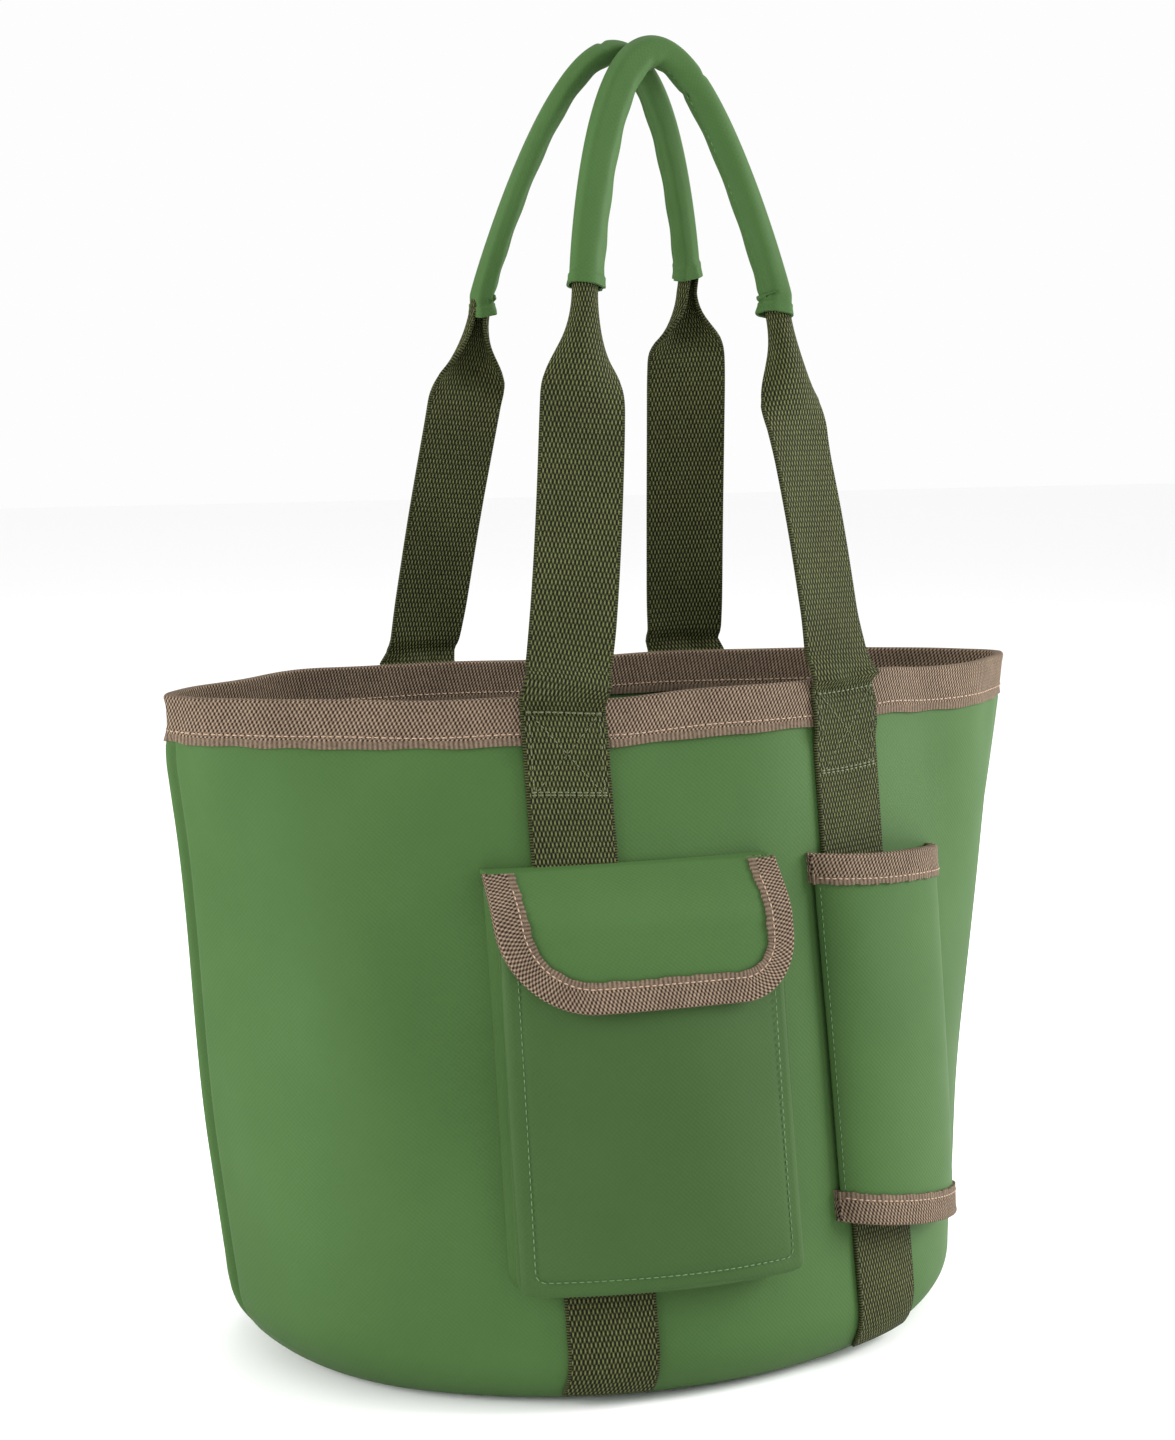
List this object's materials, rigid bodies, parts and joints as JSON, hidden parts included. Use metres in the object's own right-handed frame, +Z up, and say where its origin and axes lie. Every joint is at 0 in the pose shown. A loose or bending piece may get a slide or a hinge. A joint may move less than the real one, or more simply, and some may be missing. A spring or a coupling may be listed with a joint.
{
  "type": "garden tool bag",
  "caption": "Soft oval-based tote for hand tools, with webbing handles, a flap pocket and an open-ended sleeve pocket on its front.",
  "frame": {"origin": "centre of the flat underside of the base", "axes": "+Z up, -Y towards the front with the pockets, +X to the right seen from the front"},
  "size_m": [0.4334, 0.2775, 0.5937],
  "materials": {
    "coated_cloth": "matt coated polyester canvas",
    "binding_tape": "woven herringbone tape",
    "webbing": "coarse woven polypropylene",
    "stiffener": "matt board"
  },
  "bodies": {
    "bag": {"front_panel": "coated_cloth", "back_panel": "coated_cloth", "base_panel": "coated_cloth", "pocket_panel": "coated_cloth", "pocket_gusset": "coated_cloth", "sleeve_panel": "coated_cloth", "rim_binding": "binding_tape", "left_seam_tape": "binding_tape", "right_seam_tape": "binding_tape", "base_seam_tape": "binding_tape", "pocket_mouth_binding": "binding_tape", "sleeve_top_binding": "binding_tape", "sleeve_bottom_binding": "binding_tape", "front_left_strap": "webbing", "front_right_strap": "webbing", "back_left_strap": "webbing", "back_right_strap": "webbing", "base_board": "stiffener"},
    "flap": {"flap_panel": "coated_cloth", "flap_binding": "binding_tape"},
    "front_handle": {"front_handle_webbing": "webbing", "front_grip_cover": "coated_cloth"},
    "back_handle": {"back_handle_webbing": "webbing", "back_grip_cover": "coated_cloth"}
  },
  "joints": [
    {"name": "flap_hinge", "type": "hinge", "parent": "bag", "child": "flap", "pos_m": [-0.03708, -0.09637, 0.23], "axis": [-0.9943, 0.1066, 0], "range_deg": [0, 125]},
    {"name": "front_handle_fold", "type": "hinge", "parent": "bag", "child": "front_handle", "pos_m": [0.01114, -0.07638, 0.306], "axis": [0.9996, 0.0271, 0], "range_deg": [0, 120]},
    {"name": "back_handle_fold", "type": "hinge", "parent": "bag", "child": "back_handle", "pos_m": [0.01114, 0.07638, 0.306], "axis": [-0.9996, 0.0271, 0], "range_deg": [0, 120]}
  ]
}
